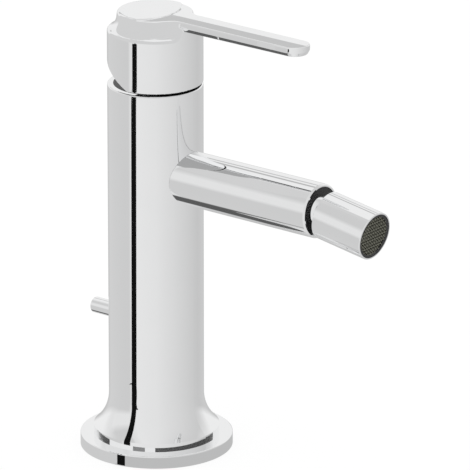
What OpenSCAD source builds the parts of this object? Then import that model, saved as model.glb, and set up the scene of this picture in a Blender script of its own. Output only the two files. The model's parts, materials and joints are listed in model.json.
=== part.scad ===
// Bidet mixer with one lever, a swivelling nozzle and a rear control for the pop-up waste.
// Millimetres. Origin: centre of the base on the deck. +X runs along the spout, +Z is up.

/* [Body] */
// Outer diameter of the upright body and of the head above it
body_d = 42; // [41:0.5:46]
// Wall of the body around the supply tubes
body_wall = 2.8; // [2.2:0.1:3.2]
// Rounding of the body's top rim
body_edge = 0.6; // [0.2:0.1:1]
// Metal between the spout's bore and the cartridge chamber
chamber_web = 3.6; // [2.4:0.2:6]
// Metal below the spout's bore, where the supply tubes end
waterway_web = 5.6; // [5.4:0.2:10]
// Depth of the sockets that hold the ends of the supply tubes
tube_socket = 5; // [4:0.5:5]

/* [Base] */
// Diameter of the flange on the deck
flange_d = 67.4; // [64:0.2:76]
// Thickness of the flange
flange_t = 5.5; // [4:0.1:8]
// Rounding of the flange's upper edge
flange_edge = 0.5; // [0.2:0.1:1]
// Diameter of the body's foot on the flange
foot_d = 55.6; // [52:0.2:59]
// Height of the foot's upright edge
foot_h = 3.7; // [2:0.1:6]
// Lean of the foot's side over its height
foot_lean = 0.04; // [0:0.02:0.2]
// Radius of the concave flare between the foot and the body
flare_r = 20; // [14:1:30]
// Opening in the flange for the hoses and the fixing stud
deck_opening_d = 34; // [32:1:36]
// Height of the flange's collar that centres the body
collar_h = 2.5; // [1.5:0.5:3]
// Wall of the flange's collar
collar_wall = 5.3; // [4:0.1:5.4]
// Mean diameter of the gasket under the flange
gasket_d = 56; // [54:1:58]
// Width of the gasket
gasket_w = 4; // [3:0.5:5]
// Thickness of the gasket
gasket_t = 1.8; // [1:0.2:2.6]

/* [Inlets] */
// Height of the inlet block's underside above the flange
block_rise = 8.5; // [7.5:0.5:12]
// Height of the inlet block
block_h = 18; // [17:0.5:24]
// Step by which the inlet block's seat is wider than the body's bore
block_lip = 0.9; // [0.6:0.1:1]
// Tapping diameter of the two hose inlets
inlet_d = 9; // [8:0.1:10]
// Depth of the inlet threads
inlet_depth = 11; // [9:0.5:11]
// Distance between the two inlets
inlet_pitch = 18; // [17.5:0.5:20]
// Distance of the inlets in front of the body's axis
inlet_x = 2; // [1:0.5:3]
// Tapping diameter for the fixing stud
stud_d = 6.8; // [5:0.1:7]
// Depth of the fixing stud's thread
stud_depth = 12; // [8:0.5:14]
// Distance of the fixing stud in front of the body's axis
stud_x = 11; // [10:0.5:12]
// Outer diameter of the supply tubes
tube_d = 8; // [7:0.2:8.4]
// Wall of the supply tubes
tube_wall = 0.8; // [0.5:0.1:1.2]
// Section of the seal rings at the tube ends
tube_seal = 1.3; // [1:0.1:1.5]
// Thickness of the ring that locks the inlet block
circlip_t = 1.3; // [1:0.1:1.6]
// Depth of the locking ring's groove
circlip_groove = 1.2; // [0.8:0.1:1.6]

/* [Spout] */
// Outer diameter of the spout
spout_d = 24; // [23:0.5:27]
// Height of the spout's axis above the deck
spout_z = 127.4; // [115:0.2:150]
// Distance of the spout's end from the body's axis
spout_reach = 91.4; // [80:0.2:120]
// Wall of the spout's tube
spout_wall = 3; // [2:0.1:3.4]
// Chamfer on the spout's end
spout_edge = 0.7; // [0.2:0.1:0.8]
// Diameter of the spout's tail in the body
tail_d = 20; // [18:0.2:21]
// Depth of the tail in the body
tail_depth = 9; // [7:0.5:9.5]
// Diameter of the waterway in the body and the tail
waterway_d = 13; // [10:0.5:14]
// Diameter of the socket for the ball joint
socket_d = 21.6; // [20.6:0.1:22]
// Depth of the socket
socket_depth = 12.2; // [11.8:0.2:16]

/* [Nozzle] */
// Diameter of the nozzle
nozzle_d = 21.4; // [19:0.2:22]
// Length of the nozzle's tube
nozzle_l = 25.9; // [24:0.1:32]
// Downward tilt of the nozzle at rest
nozzle_tilt = 9; // [0:0.2:12]
// Distance from the ball's centre to the nozzle's rear face
nozzle_stand = 7.2; // [6.4:0.1:9]
// Diameter of the ball
ball_d = 14.4; // [13.6:0.1:15]
// Depth of the ball's centre inside the spout's end
ball_inset = 3.6; // [3.4:0.1:4.2]
// Diameter of the neck behind the nozzle
neck_d = 10.4; // [9.4:0.1:10.6]
// Bore through the ball and neck
ball_bore_d = 7; // [5:0.2:8]
// Wall of the nozzle's tube at its mouth
nozzle_wall = 0.7; // [0.6:0.1:1.4]
// Depth of the aerator's chamber
aerator_depth = 13; // [12:0.5:16]
// Distance of the aerator behind the nozzle's mouth
aerator_recess = 0.4; // [0.2:0.1:1]
// Thickness of the aerator's washer
washer_t = 1.5; // [1:0.1:2]
// Thickness of the flow regulator
regulator_t = 3; // [2:0.5:4]
// Wall of the aerator's housing
aerator_wall = 1.1; // [1:0.1:1.8]
// Distance between the wires of the aerator's screen
screen_pitch = 1.25; // [1.15:0.05:2]
// Width of the wires of the aerator's screen
screen_wire = 0.35; // [0.2:0.05:0.5]

/* [Handle] */
// Gap between the body and the head
head_gap = 1.1; // [0.8:0.1:1.6]
// Height of the head's side, up to its rim
head_h = 24; // [23.4:0.1:32]
// Rounding of the head's rim
rim_round = 1.1; // [0.6:0.1:1.3]
// Diameter of the crown's top
crown_d = 33; // [31:0.2:33.6]
// Height of the crown above the rim
crown_h = 7.9; // [7:0.1:9]
// Rounding of the crown's edge
crown_edge = 1.1; // [0.6:0.1:1.6]
// Slope of the crown's side from upright
crown_draft = 6.5; // [4:0.5:8]
// Slope of the concave cove from upright where it ends at the rim
cove_end = 64; // [58:1:70]
// Wall of the hollow head
head_wall = 2.6; // [2:0.1:3]
// Slope of the two facets on top of the lever
roof_angle = 2; // [1:0.5:4]
// Distance of the crown's flat from the axis, along the lever
flat_apex = 9.3; // [6:0.1:11]
// Radius of the front edge of the crown's flat
flat_r = 20; // [18:0.5:26]
// Distance of the lever's tip from the axis
lever_reach = 83.5; // [60:0.5:110]
// Width of the lever
lever_w = 12.9; // [10:0.1:14]
// Height of the lever's upright side
lever_side = 2.6; // [2:0.1:3]
// Thickness of the lever at the head
lever_root_t = 4.8; // [4.4:0.1:6]
// Thickness of the lever at its tip
lever_tip_t = 4.4; // [3.2:0.1:4.8]
// Share of its height by which the lower part of the lever's side is drawn in
lever_draw = 0.55; // [0.4:0.05:1]
// Radius of the fillet between the lever and the head's rim
root_fillet = 4; // [2:0.5:4.5]
// Slope of the relief under the rear of the head
relief_angle = 29; // [28:0.5:34]
// Metal under the head's rim
rim_web = 4; // [3:0.2:5]
// Thickness of the crown's top
crown_t = 4.2; // [3:0.2:5]
// Height of the stem's boss above the body
boss_rise = 6.5; // [6:0.1:8]
// Distance from the stem's end to the inside of the crown
stem_drop = 5.5; // [4.5:0.1:6.5]
// Distance of the grub screw below the stem's end
grub_drop = 4.5; // [3.5:0.1:5]
// Diameter of the grub screw
grub_d = 4; // [3:0.5:5]
// Length of the grub screw
grub_l = 5; // [4:0.5:7]

/* [Cartridge] */
// Diameter of the cartridge
cartridge_d = 35; // [34.6:0.1:35.4]
// Height of the cartridge's base
base_h = 5.5; // [4:0.5:7]
// Height of the fixed ceramic disc
fixed_disc_h = 3.5; // [2.5:0.5:5]
// Height of the moving ceramic disc
moving_disc_h = 3; // [2.5:0.5:4]
// Height of the carrier on the moving disc
carrier_h = 4.6; // [4.6:0.2:5.4]
// Height of the rotor that carries the stem
rotor_h = 7.9; // [7.5:0.1:9]
// Distance from the cartridge's outside to its rotor
rotor_inset = 4.6; // [4.2:0.1:5.4]
// Height of the stem's pivot above the rotor's underside
pivot_rise = 4.7; // [4.5:0.1:5.2]
// Width of the stem's square
stem_w = 8; // [7:0.2:8.4]
// Diameter of the stem's pivot pin
stem_pin_d = 3; // [2:0.2:3.4]
// Diameter of the ball at the stem's lower end
stem_ball_d = 4.8; // [4.4:0.1:5]
// Diameter of the two ports in the ceramic discs
port_d = 5.2; // [4:0.2:5.6]

/* [Pop-up control] */
// Diameter of the rear knob
knob_d = 7; // [6:0.2:9]
// Distance of the knob's end from the body's axis
knob_reach = 34.9; // [30:0.1:45]
// Height of the knob above the deck
popup_z = 56.9; // [50:0.2:90]
// Diameter of the control lever's neck
arm_d = 4; // [3:0.2:4.2]
// Diameter of the control lever's ball
arm_ball_d = 4.6; // [4.4:0.1:5]
// Distance of the lift rod behind the body's axis
rod_x = 3; // [2.6:0.1:3.4]
// Diameter of the lift rod
rod_d = 5; // [4.6:0.2:6]
// Tapping diameter in the lift rod's lower end
rod_tap_d = 3.3; // [2.5:0.1:3.3]
// Diameter of the control lever's pivot pin
pivot_d = 2.6; // [2:0.1:2.8]

/* [Clearances] */
// Clearance around pieces that are fixed to each other
fit = 0.1; // [0.05:0.01:0.15]
// Clearance around pins and shafts that turn or slide
running = 0.05; // [0.02:0.01:0.09]
// Gap beside faces that move past each other
play = 0.3; // [0.2:0.05:0.35]

/* [Hidden] */
$fn = 72;
over = 1; // how far a cutting shape runs past the face that it cuts

// Base and body
flange_r = flange_d / 2;
foot_r = foot_d / 2;
foot_top = flange_t + foot_h;
body_r = body_d / 2;
bore_r = body_r - body_wall;
flare_top = foot_top + sqrt(flare_r ^ 2 - (body_r + flare_r - foot_r) ^ 2);
opening_r = deck_opening_d / 2;
collar_r = opening_r + collar_wall;
collar_top = flange_t + collar_h;
gasket_in = (gasket_d - gasket_w) / 2;
gasket_out = (gasket_d + gasket_w) / 2;

// Inlet block and supply tubes
block_bottom = flange_t + block_rise;
block_top = block_bottom + block_h;
block_r = bore_r + block_lip;
circlip_bottom = block_bottom - fit - circlip_t;
circlip_r = block_r + circlip_groove;
circlip_grip = 1.4;
circlip_inner_r = block_r - circlip_grip;
circlip_mouth = 10;
tube_r = tube_d / 2;
tube_y = inlet_pitch / 2;
seal_r = tube_r + tube_seal;
seal_seat = tube_seal + 2 * fit;
tail_r = tail_d / 2;
waterway_r = waterway_d / 2;
waterway_bottom = spout_z - tail_r - waterway_web;
tube_bottom = block_top - tube_socket;
tube_top = waterway_bottom + tube_socket;
passage_r = tube_r - tube_wall;
outlet_r = 3.6;
outlet_x = 9.5;
outlet_web = 0.7;
waterway_x0 = outlet_x - outlet_r - outlet_web;

// Cartridge, stacked on the floor of its chamber
housing_r = cartridge_d / 2;
chamber_r = housing_r + fit;
chamber_floor = spout_z + tail_r + chamber_web;
seal_squeeze = 0.3;
port_r = port_d / 2;
port_seal_h = 1.5;
port_seal_wall = 1.2;
port_seal_top = chamber_floor + port_seal_h;
base_bottom = chamber_floor + seal_squeeze;
base_top = base_bottom + base_h;
fixed_top = base_top + fixed_disc_h;
moving_bottom = fixed_top + running;
moving_top = moving_bottom + moving_disc_h;
carrier_top = moving_top + carrier_h;
rotor_bottom = carrier_top + play;
rotor_top = rotor_bottom + rotor_h;
rotor_r = housing_r - rotor_inset;
lip_h = 0.8;
lip_w = 0.8;
housing_top = rotor_top + fit + lip_h;
housing_wall = 3.2;
housing_neck_wall = 2;
housing_neck_r = rotor_r + running + housing_neck_wall;
shoulder_rise = 3.2;
shoulder_z = rotor_bottom + shoulder_rise;
cartridge_recess = 0.2;
body_top = housing_top + cartridge_recess;
nut_thread = 0.8;
nut_r = housing_r + nut_thread;
glide_h = 1.2;
nut_bottom = shoulder_z + running;
nut_top = housing_top - glide_h;
nut_notches = 6;
nut_notch = 3;
nut_notch_depth = 2;
disc_r = housing_r - housing_wall - fit;
disc_travel = 3.2;
moving_r = disc_r - disc_travel;
mixing_wall = 3;
pivot_z = rotor_bottom + pivot_rise;
stem_ball_r = stem_ball_d / 2;
stem_ball_lift = 0.7;
stem_ball_z = moving_top + stem_ball_r + stem_ball_lift;
stem_pin_r = stem_pin_d / 2;
pin_inset = 1;
stem_neck_r = 1.5;
stem_pocket = 0.2;
shaft_drop = 3;
shaft_bottom = pivot_z - shaft_drop;
square_rise = 1;
square_bottom = body_top + square_rise;
lift_max = 25;
disc_offset = (pivot_z - stem_ball_z) * sin(lift_max) / 2;
rotor_slot_x = 15;
rotor_slot_y = stem_w + 2 * fit;
locating_pin_r = 1.5;
locating_pin_h = 2.5;
locating_pin_x = -10;

// Handle
head_r = body_r;
head_span = 2 * head_r;
head_bottom = body_top + head_gap;
rim_z = head_bottom + head_h;
crown_top = rim_z + crown_h;
crown_r = crown_d / 2;
edge_r = crown_r + crown_edge * (tan(crown_draft) - 1 / cos(crown_draft));
edge_z = crown_top - crown_edge;
rim_r = head_r - rim_round + rim_round * cos(cove_end);
rim_end_z = rim_z - rim_round + rim_round * sin(cove_end);
cove_r = (rim_r - crown_r - (crown_top - rim_end_z) * tan(crown_draft))
    / (1 / cos(crown_draft) - cos(cove_end) - sin(cove_end) * tan(crown_draft));
cove_x = rim_r + cove_r * cos(cove_end);
cove_z = rim_end_z + cove_r * sin(cove_end);
cavity_r = head_r - head_wall;
cavity_top = rim_z - rim_web;
crown_wall = 3.2;
crown_cavity_r = crown_r - crown_wall;
crown_cavity_top = crown_top - crown_t;
boss_wall = 1.9;
boss_r = stem_w / sqrt(2) + boss_wall;
boss_bottom = body_top + boss_rise;
stem_socket = stem_w + 2 * fit;
stem_top = crown_cavity_top - stem_drop;
grub_r = grub_d / 2;
grub_z = stem_top - grub_drop;
grub_tip_x = -stem_w / 2 - running;
plug_step = 0.7;
plug_r = grub_r + plug_step;
plug_recess = 0.15;
lever_r = lever_w / 2;
nose_x = lever_reach - lever_r;
lever_overlap = 4;
lever_root_x = crown_r - lever_overlap;
lever_skin = 0.2;
root_inset = lever_draw * (lever_root_t - lever_side);
tip_inset = lever_draw * (lever_tip_t - lever_side);
root_half_w = lever_r + root_fillet;
root_start = rim_z - rim_round - over;
root_rise = crown_top - lever_side - root_start;

// Ball joint and nozzle, with distances along the nozzle counted from the ball's centre
spout_r = spout_d / 2;
ball_r = ball_d / 2;
ball_x = spout_reach - ball_inset;
socket_r = socket_d / 2;
socket_x = spout_reach - socket_depth;
ring_r = socket_r - fit;
seat_lap = 1.7;
seat_bore_r = ball_r - seat_lap;
seat_setback = 2.1;
seat_front = ball_x - seat_setback;
swivel_rear = seat_front + fit;
swivel_lead = 0.3;
swivel_front = ball_x + swivel_lead;
nut_rear = swivel_front + fit;
nut_setback = 0.5;
nut_front = spout_reach - nut_setback;
nut_bore_r = sqrt(ball_r ^ 2 - (nut_front - ball_x) ^ 2) - running;
nut_slot = 2;
nut_slot_depth = 0.8;
nozzle_r = nozzle_d / 2;
nozzle_edge = 0.3;
nozzle_end = nozzle_stand + nozzle_l;
chamber_bore_r = nozzle_r - nozzle_wall;
chamber_start = nozzle_end - aerator_depth;
nozzle_back = 3.4;
throat_start = nozzle_stand + nozzle_back;
throat_step = 2.8;
throat_r = chamber_bore_r - throat_step;
aerator_r = chamber_bore_r - fit;
washer_start = chamber_start + running;
washer_end = washer_start + washer_t;
regulator_start = washer_end + running;
regulator_end = regulator_start + regulator_t;
regulator_holes = 10;
regulator_hole_r = 0.9;
housing_start = regulator_end + running;
housing_end = nozzle_end - aerator_recess;
screen_r = aerator_r - aerator_wall;
screen_ledge = 0.8;
screen_rim = 0.5;
screen_t = 0.6;
screen_setback = 0.2;
screen_end = housing_end - screen_setback;
screen_start = screen_end - screen_t;
screen_wires = floor(screen_r / screen_pitch);

// Pop-up control
knob_r = knob_d / 2;
knob_edge = 0.4;
knob_gap = 1.4;
knob_inner_x = -body_r - knob_gap;
arm_r = arm_d / 2;
arm_thin_r = 1.5;
arm_ball_r = arm_ball_d / 2;
pivot_r = pivot_d / 2;
hinge_boss_step = 0.2;
hinge_boss_r = arm_r + hinge_boss_step;
hinge_boss_y = 3;
bracket_back_t = 1;
bracket_back_x = -bore_r + bracket_back_t;
arm_pivot_x = bracket_back_x + hinge_boss_r + play;
arm_thick_l = 2.6;
arm_thin_x = arm_pivot_x + arm_thick_l;
arm_swing = 12;
bush_bore_r = arm_r / cos(arm_swing) + (body_r + arm_pivot_x) * tan(arm_swing) + play / 2;
bush_wall = 1;
bush_r = bush_bore_r + bush_wall;
bush_recess = 0.4;
bush_end_x = -body_r + bush_recess;
ear_y = 6.2;
ear_slot_y = hinge_boss_y + play;
bracket_h = 13;
ear_reach = 2.1;
bracket_front_x = arm_pivot_x + ear_reach;
rod_r = rod_d / 2;
rod_rise = 3;
rod_bottom = collar_top + rod_rise;
rod_tap_depth = 8;
rod_head = [7.6, 8, 12];
rod_head_back = 3.6;
rod_head_x0 = -rod_x - rod_head_back;
rod_head_z0 = popup_z - rod_head[2] / 2;
rod_slot_x1 = -rod_x + arm_ball_r + play;
rod_slot_side = 0.2;
rod_slot_y = arm_ball_r + rod_slot_side;
rod_slot_play = 0.15;
rod_slot_z = arm_ball_r + rod_slot_play;

// Shared shapes

// A ring or disc about the Z axis between two heights
module ring(r_out, r_in, z0, z1) {
    difference() {
        translate([0, 0, z0]) cylinder(r = r_out, h = z1 - z0);
        translate([0, 0, z0 - over]) cylinder(r = r_in, h = z1 - z0 + 2 * over);
    }
}

// A solid rod along X between two places
module along_x(r, x0, x1) {
    translate([x0, 0, 0]) rotate([0, 90, 0]) cylinder(r = r, h = x1 - x0);
}

// A solid rod along Y, centred on the XZ plane
module along_y(r, length) {
    rotate([90, 0, 0]) cylinder(r = r, h = length, center = true);
}

// Half section of a disc with a rounded upper edge, for turning about Z
module rounded_half(r, z0, z1, edge) {
    translate([0, z0]) square([r - edge, z1 - z0]);
    translate([0, z0]) square([r, z1 - z0 - edge]);
    translate([r - edge, z1 - edge]) circle(r = edge);
}

// Moves a shape built along +X from the ball's centre into the nozzle's place
module on_nozzle() {
    translate([ball_x, 0, spout_z]) rotate([0, nozzle_tilt, 0]) children();
}

// Draws a shape at both supply tubes
module at_tubes() {
    for (side = [-1, 1]) translate([inlet_x, side * tube_y, 0]) children();
}

// Base

module base_flange() {
    color("silver") difference() {
        union() {
            rotate_extrude() rounded_half(flange_r, 0, flange_t, flange_edge);
            cylinder(r = collar_r, h = collar_top);
        }
        translate([0, 0, -over]) cylinder(r = opening_r, h = collar_top + 2 * over);
        ring(gasket_out + fit, gasket_in - fit, -over, gasket_t + fit);
    }
}

module base_gasket() {
    color("dimgray") ring(gasket_out, gasket_in, 0, gasket_t);
}

// Body: one casting with a flared foot, the waterways and the cartridge chamber

module body_outside() {
    rotate_extrude() {
        polygon([[0, flange_t], [foot_r + foot_lean, flange_t], [foot_r, foot_top], [0, foot_top]]);
        difference() {
            translate([0, foot_top]) square([foot_r, flare_top - foot_top]);
            translate([body_r + flare_r, flare_top]) circle(r = flare_r, $fn = 144);
        }
        rounded_half(body_r, flange_t, body_top, body_edge);
    }
}

module body_bores() {
    translate([0, 0, flange_t - over]) cylinder(r = collar_r + fit, h = collar_h + fit + over);
    translate([0, 0, flange_t]) cylinder(r = block_r + fit, h = block_top + fit - flange_t);
    translate([0, 0, circlip_bottom - fit]) cylinder(r = circlip_r + fit, h = circlip_t + 2 * fit);
    translate([0, 0, block_top]) cylinder(r = bore_r, h = waterway_bottom - block_top);
    translate([0, 0, chamber_floor]) cylinder(r = chamber_r, h = body_top - chamber_floor + over);
    translate([0, 0, shoulder_z]) cylinder(r = nut_r + fit, h = body_top - shoulder_z + over);
}

module body_waterways() {
    passage_l = chamber_floor - waterway_bottom;
    at_tubes() {
        translate([0, 0, waterway_bottom - over]) cylinder(r = passage_r, h = passage_l + 2 * over);
        translate([0, 0, waterway_bottom - over]) cylinder(r = tube_r + fit, h = tube_socket + fit + over);
        translate([0, 0, waterway_bottom - over]) cylinder(r = seal_r + fit, h = seal_seat + over);
    }
    translate([outlet_x, 0, spout_z]) cylinder(r = outlet_r, h = chamber_floor - spout_z + over);
    translate([0, 0, spout_z]) along_x(waterway_r, waterway_x0, body_r);
    translate([0, 0, spout_z]) along_x(tail_r + fit, body_r - tail_depth - fit, body_r + over);
}

// The pins stand up past the given height by the length of the cutting overrun
module locating_pins(r, h) {
    for (side = [-1, 1])
        translate([locating_pin_x, side * tube_y, chamber_floor - h]) cylinder(r = r, h = h + over);
}

module mixer_body() {
    color("silver") difference() {
        body_outside();
        body_bores();
        body_waterways();
        locating_pins(locating_pin_r + fit, locating_pin_h + fit);
        translate([0, 0, popup_z]) along_x(bush_r + fit, -body_r - over, -bore_r + over);
    }
}

module inlet_block() {
    color("goldenrod") difference() {
        translate([0, 0, block_bottom]) cylinder(r = block_r, h = block_h);
        at_tubes() {
            translate([0, 0, block_bottom - over]) cylinder(r = inlet_d / 2, h = inlet_depth + over);
            translate([0, 0, block_bottom]) cylinder(r = passage_r, h = block_h);
            translate([0, 0, tube_bottom - fit]) cylinder(r = tube_r + fit, h = tube_socket + fit + over);
            translate([0, 0, block_top - seal_seat]) cylinder(r = seal_r + fit, h = seal_seat + over);
        }
        translate([stud_x, 0, block_bottom - over]) cylinder(r = stud_d / 2, h = stud_depth + over);
        translate([-rod_x, 0, block_bottom - over]) cylinder(r = rod_r + running, h = block_h + 2 * over);
    }
}

// The locking ring is open at the front, so that it can be squeezed into its groove
module block_circlip() {
    color("darkgray") difference() {
        ring(circlip_r, circlip_inner_r, circlip_bottom, circlip_bottom + circlip_t);
        translate([0, -circlip_mouth / 2, circlip_bottom - over]) cube([body_d, circlip_mouth, circlip_t + 2 * over]);
    }
}

module supply_tube(side) {
    color("peru") translate([inlet_x, side * tube_y, 0]) ring(tube_r, passage_r, tube_bottom, tube_top);
}

module hot_tube() {
    supply_tube(1);
}

module cold_tube() {
    supply_tube(-1);
}

module tube_seals() {
    color("black") at_tubes() {
        ring(seal_r, tube_r + running, block_top - fit - tube_seal, block_top - fit);
        ring(seal_r, tube_r + running, waterway_bottom + fit, waterway_bottom + fit + tube_seal);
    }
}

// Spout with its tail in the body and a socket for the ball joint

module spout_outside() {
    difference() {
        union() {
            along_x(spout_r, 0, spout_reach - spout_edge);
            translate([spout_reach - spout_edge, 0, 0]) rotate([0, 90, 0])
                cylinder(r1 = spout_r, r2 = spout_r - spout_edge, h = spout_edge);
        }
        cylinder(r = body_r + running, h = 2 * spout_d, center = true);
    }
    along_x(tail_r, body_r - tail_depth, body_r + spout_wall);
}

module spout_tube() {
    color("silver") translate([0, 0, spout_z]) difference() {
        spout_outside();
        along_x(waterway_r, 0, spout_reach);
        along_x(spout_r - spout_wall, body_r + 2 * spout_wall, socket_x);
        along_x(socket_r, socket_x, spout_reach + over);
    }
}

// Space that the ball turns in
module ball_space() {
    translate([ball_x, 0, 0]) sphere(r = ball_r + running);
}

module ball_seal() {
    color("dimgray") translate([0, 0, spout_z]) difference() {
        along_x(ring_r, socket_x + running, seat_front);
        along_x(seat_bore_r, socket_x, spout_reach);
        ball_space();
    }
}

module swivel_ring() {
    color("white") translate([0, 0, spout_z]) difference() {
        along_x(ring_r, swivel_rear, swivel_front);
        ball_space();
    }
}

module socket_nut() {
    color("darkslategray") translate([0, 0, spout_z]) difference() {
        along_x(ring_r, nut_rear, nut_front);
        ball_space();
        along_x(nut_bore_r, ball_x, spout_reach);
        for (side = [-1, 1]) translate([nut_front - nut_slot_depth, side * ring_r - nut_slot / 2, -nut_slot / 2])
            cube([nut_slot, nut_slot, nut_slot]);
    }
}

// Nozzle: ball, neck and tube in one piece

module nozzle() {
    color("silver") on_nozzle() difference() {
        union() {
            sphere(r = ball_r);
            along_x(neck_d / 2, 0, nozzle_stand + over);
            rotate([0, 90, 0]) rotate_extrude() rounded_half(nozzle_r, nozzle_stand, nozzle_end, nozzle_edge);
        }
        along_x(ball_bore_d / 2, -ball_d, nozzle_end);
        along_x(throat_r, throat_start, nozzle_end);
        along_x(chamber_bore_r, chamber_start, nozzle_end + over);
    }
}

module aerator_seal() {
    color("black") on_nozzle() difference() {
        along_x(aerator_r, washer_start, washer_end);
        along_x(throat_r, washer_start - over, washer_end + over);
    }
}

module flow_regulator() {
    color("whitesmoke") on_nozzle() difference() {
        along_x(aerator_r - fit, regulator_start, regulator_end);
        for (k = [0:regulator_holes - 1]) rotate([k * 360 / regulator_holes, 0, 0])
            translate([0, aerator_r / 2, 0]) along_x(regulator_hole_r, regulator_start - over, regulator_end + over);
    }
}

module aerator_housing() {
    color("black") on_nozzle() difference() {
        along_x(aerator_r, housing_start, housing_end);
        along_x(screen_r - screen_ledge, housing_start - over, nozzle_end);
        along_x(screen_r, screen_start - running, nozzle_end);
    }
}

module aerator_screen() {
    length = 2 * screen_r;
    color("gray") on_nozzle() {
        intersection() {
            along_x(screen_r - screen_rim / 2, screen_start, screen_end);
            for (turn = [45, 135]) rotate([turn, 0, 0]) for (k = [-screen_wires:screen_wires])
                translate([screen_start, k * screen_pitch - screen_wire / 2, -length / 2])
                    cube([screen_t, screen_wire, length]);
        }
        difference() {
            along_x(screen_r - running, screen_start, screen_end);
            along_x(screen_r - screen_rim, screen_start - over, screen_end + over);
        }
    }
}

// Cartridge

// Draws the two inlet ports and the outlet port of the cartridge between two heights
module ports(inlet_r, mouth_r, z0, z1) {
    at_tubes() translate([0, 0, z0]) cylinder(r = inlet_r, h = z1 - z0);
    translate([outlet_x, 0, z0]) cylinder(r = mouth_r, h = z1 - z0);
}

module cartridge_base() {
    color("whitesmoke") union() {
        difference() {
            translate([0, 0, base_bottom]) cylinder(r = housing_r - fit, h = base_h);
            ports(port_r, outlet_r, base_bottom - over, base_top + over);
            ports(port_r + port_seal_wall + fit, outlet_r + port_seal_wall + fit, base_bottom - over, port_seal_top);
        }
        locating_pins(locating_pin_r, locating_pin_h);
    }
}

module port_seals() {
    color("black") difference() {
        ports(port_r + port_seal_wall, outlet_r + port_seal_wall, chamber_floor, port_seal_top);
        ports(port_r, outlet_r, chamber_floor - over, port_seal_top + over);
    }
}

module cartridge_housing() {
    color("whitesmoke") difference() {
        union() {
            translate([0, 0, base_top]) cylinder(r = housing_r, h = shoulder_z - base_top);
            translate([0, 0, base_top]) cylinder(r = housing_neck_r, h = housing_top - base_top);
        }
        translate([0, 0, base_top - over]) cylinder(r = disc_r + fit, h = rotor_bottom - fit - base_top + over);
        translate([0, 0, base_top]) cylinder(r = rotor_r + running, h = rotor_top + fit - base_top);
        translate([0, 0, base_top]) cylinder(r = rotor_r - lip_w, h = housing_top - base_top + over);
    }
}

module fixed_disc() {
    color("white") difference() {
        translate([0, 0, base_top]) cylinder(r = disc_r, h = fixed_disc_h);
        ports(port_r, port_r, base_top - over, fixed_top + over);
    }
}

// The pocket under the moving disc is where the hot and cold water mix
module moving_disc() {
    color("white") translate([-disc_offset, 0, moving_bottom]) difference() {
        cylinder(r = moving_r, h = moving_disc_h);
        translate([0, 0, -over]) cylinder(r = moving_r - mixing_wall, h = over + moving_disc_h / 2);
    }
}

module disc_carrier() {
    color("lightgray") difference() {
        translate([-disc_offset, 0, moving_top]) cylinder(r = moving_r, h = carrier_h);
        translate([0, 0, moving_top - over]) cylinder(r = stem_ball_r + stem_pocket, h = carrier_h + 2 * over);
    }
}

module cartridge_rotor() {
    color("lightgray") difference() {
        translate([0, 0, rotor_bottom]) cylinder(r = rotor_r, h = rotor_h);
        translate([-rotor_slot_x / 2, -rotor_slot_y / 2, rotor_bottom - over])
            cube([rotor_slot_x, rotor_slot_y, rotor_h + 2 * over]);
        translate([0, 0, pivot_z]) along_y(stem_pin_r + running, 2 * rotor_r + over);
    }
}

module stem_pin() {
    color("darkgray") translate([0, 0, pivot_z]) along_y(stem_pin_r, 2 * (rotor_r - pin_inset));
}

module stem() {
    color("darkgray") difference() {
        union() {
            translate([0, 0, stem_ball_z]) sphere(r = stem_ball_r);
            translate([0, 0, stem_ball_z]) cylinder(r = stem_neck_r, h = shaft_bottom - stem_ball_z + over);
            translate([0, 0, shaft_bottom]) cylinder(r = stem_w / 2 - fit, h = square_bottom - shaft_bottom + over);
            translate([-stem_w / 2, -stem_w / 2, square_bottom]) cube([stem_w, stem_w, stem_top - square_bottom]);
        }
        translate([0, 0, pivot_z]) along_y(stem_pin_r + running, 2 * rotor_r);
    }
}

module retaining_nut() {
    color("goldenrod") difference() {
        ring(nut_r, housing_neck_r + fit, nut_bottom, nut_top);
        for (k = [0:nut_notches - 1]) rotate(k * 360 / nut_notches)
            translate([housing_neck_r - over, -nut_notch / 2, nut_top - nut_notch_depth])
                cube([nut_notch, nut_notch, nut_notch_depth + over]);
    }
}

module glide_ring() {
    color("black") ring(nut_r, housing_neck_r + fit, nut_top, housing_top);
}

// Handle: hollow head with a coved crown and the lever, in one casting

module head_outside() {
    draft_side = [cos(crown_draft), sin(crown_draft)];
    rotate_extrude() {
        rounded_half(head_r, head_bottom, rim_z, rim_round);
        difference() {
            polygon([[0, head_bottom], [rim_r, head_bottom], [rim_r, rim_end_z], [cove_x, cove_z] - cove_r * draft_side,
                [edge_r, edge_z] + crown_edge * draft_side, [edge_r, crown_top], [0, crown_top]]);
            translate([cove_x, cove_z]) circle(r = cove_r);
        }
        translate([edge_r, edge_z]) circle(r = crown_edge);
    }
}

// The lever's sides are upright above and drawn in below, more at the head than at the tip
module lever_bar() {
    hull() {
        translate([lever_root_x, -lever_r, crown_top - lever_side]) cube([over, lever_w, lever_side]);
        translate([nose_x, 0, crown_top - lever_side]) cylinder(r = lever_r, h = lever_side);
        translate([lever_root_x, root_inset - lever_r, crown_top - lever_root_t])
            cube([over, lever_w - 2 * root_inset, lever_skin]);
        translate([nose_x, 0, crown_top - lever_tip_t]) cylinder(r = lever_r - tip_inset, h = lever_skin);
    }
}

// Under the lever the head's wall rises to meet it, with a concave fillet on each side
module lever_root() {
    intersection() {
        translate([0, 0, root_start]) cylinder(r = head_r, h = root_rise);
        difference() {
            translate([crown_r / 2, -root_half_w, root_start]) cube([head_r, 2 * root_half_w, root_rise]);
            for (side = [-1, 1]) translate([0, side * root_half_w, rim_z + root_fillet]) {
                along_x(root_fillet, 0, head_span);
                translate([0, -root_fillet, 0]) cube([head_span, 2 * root_fillet, crown_h]);
            }
        }
    }
}

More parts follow.
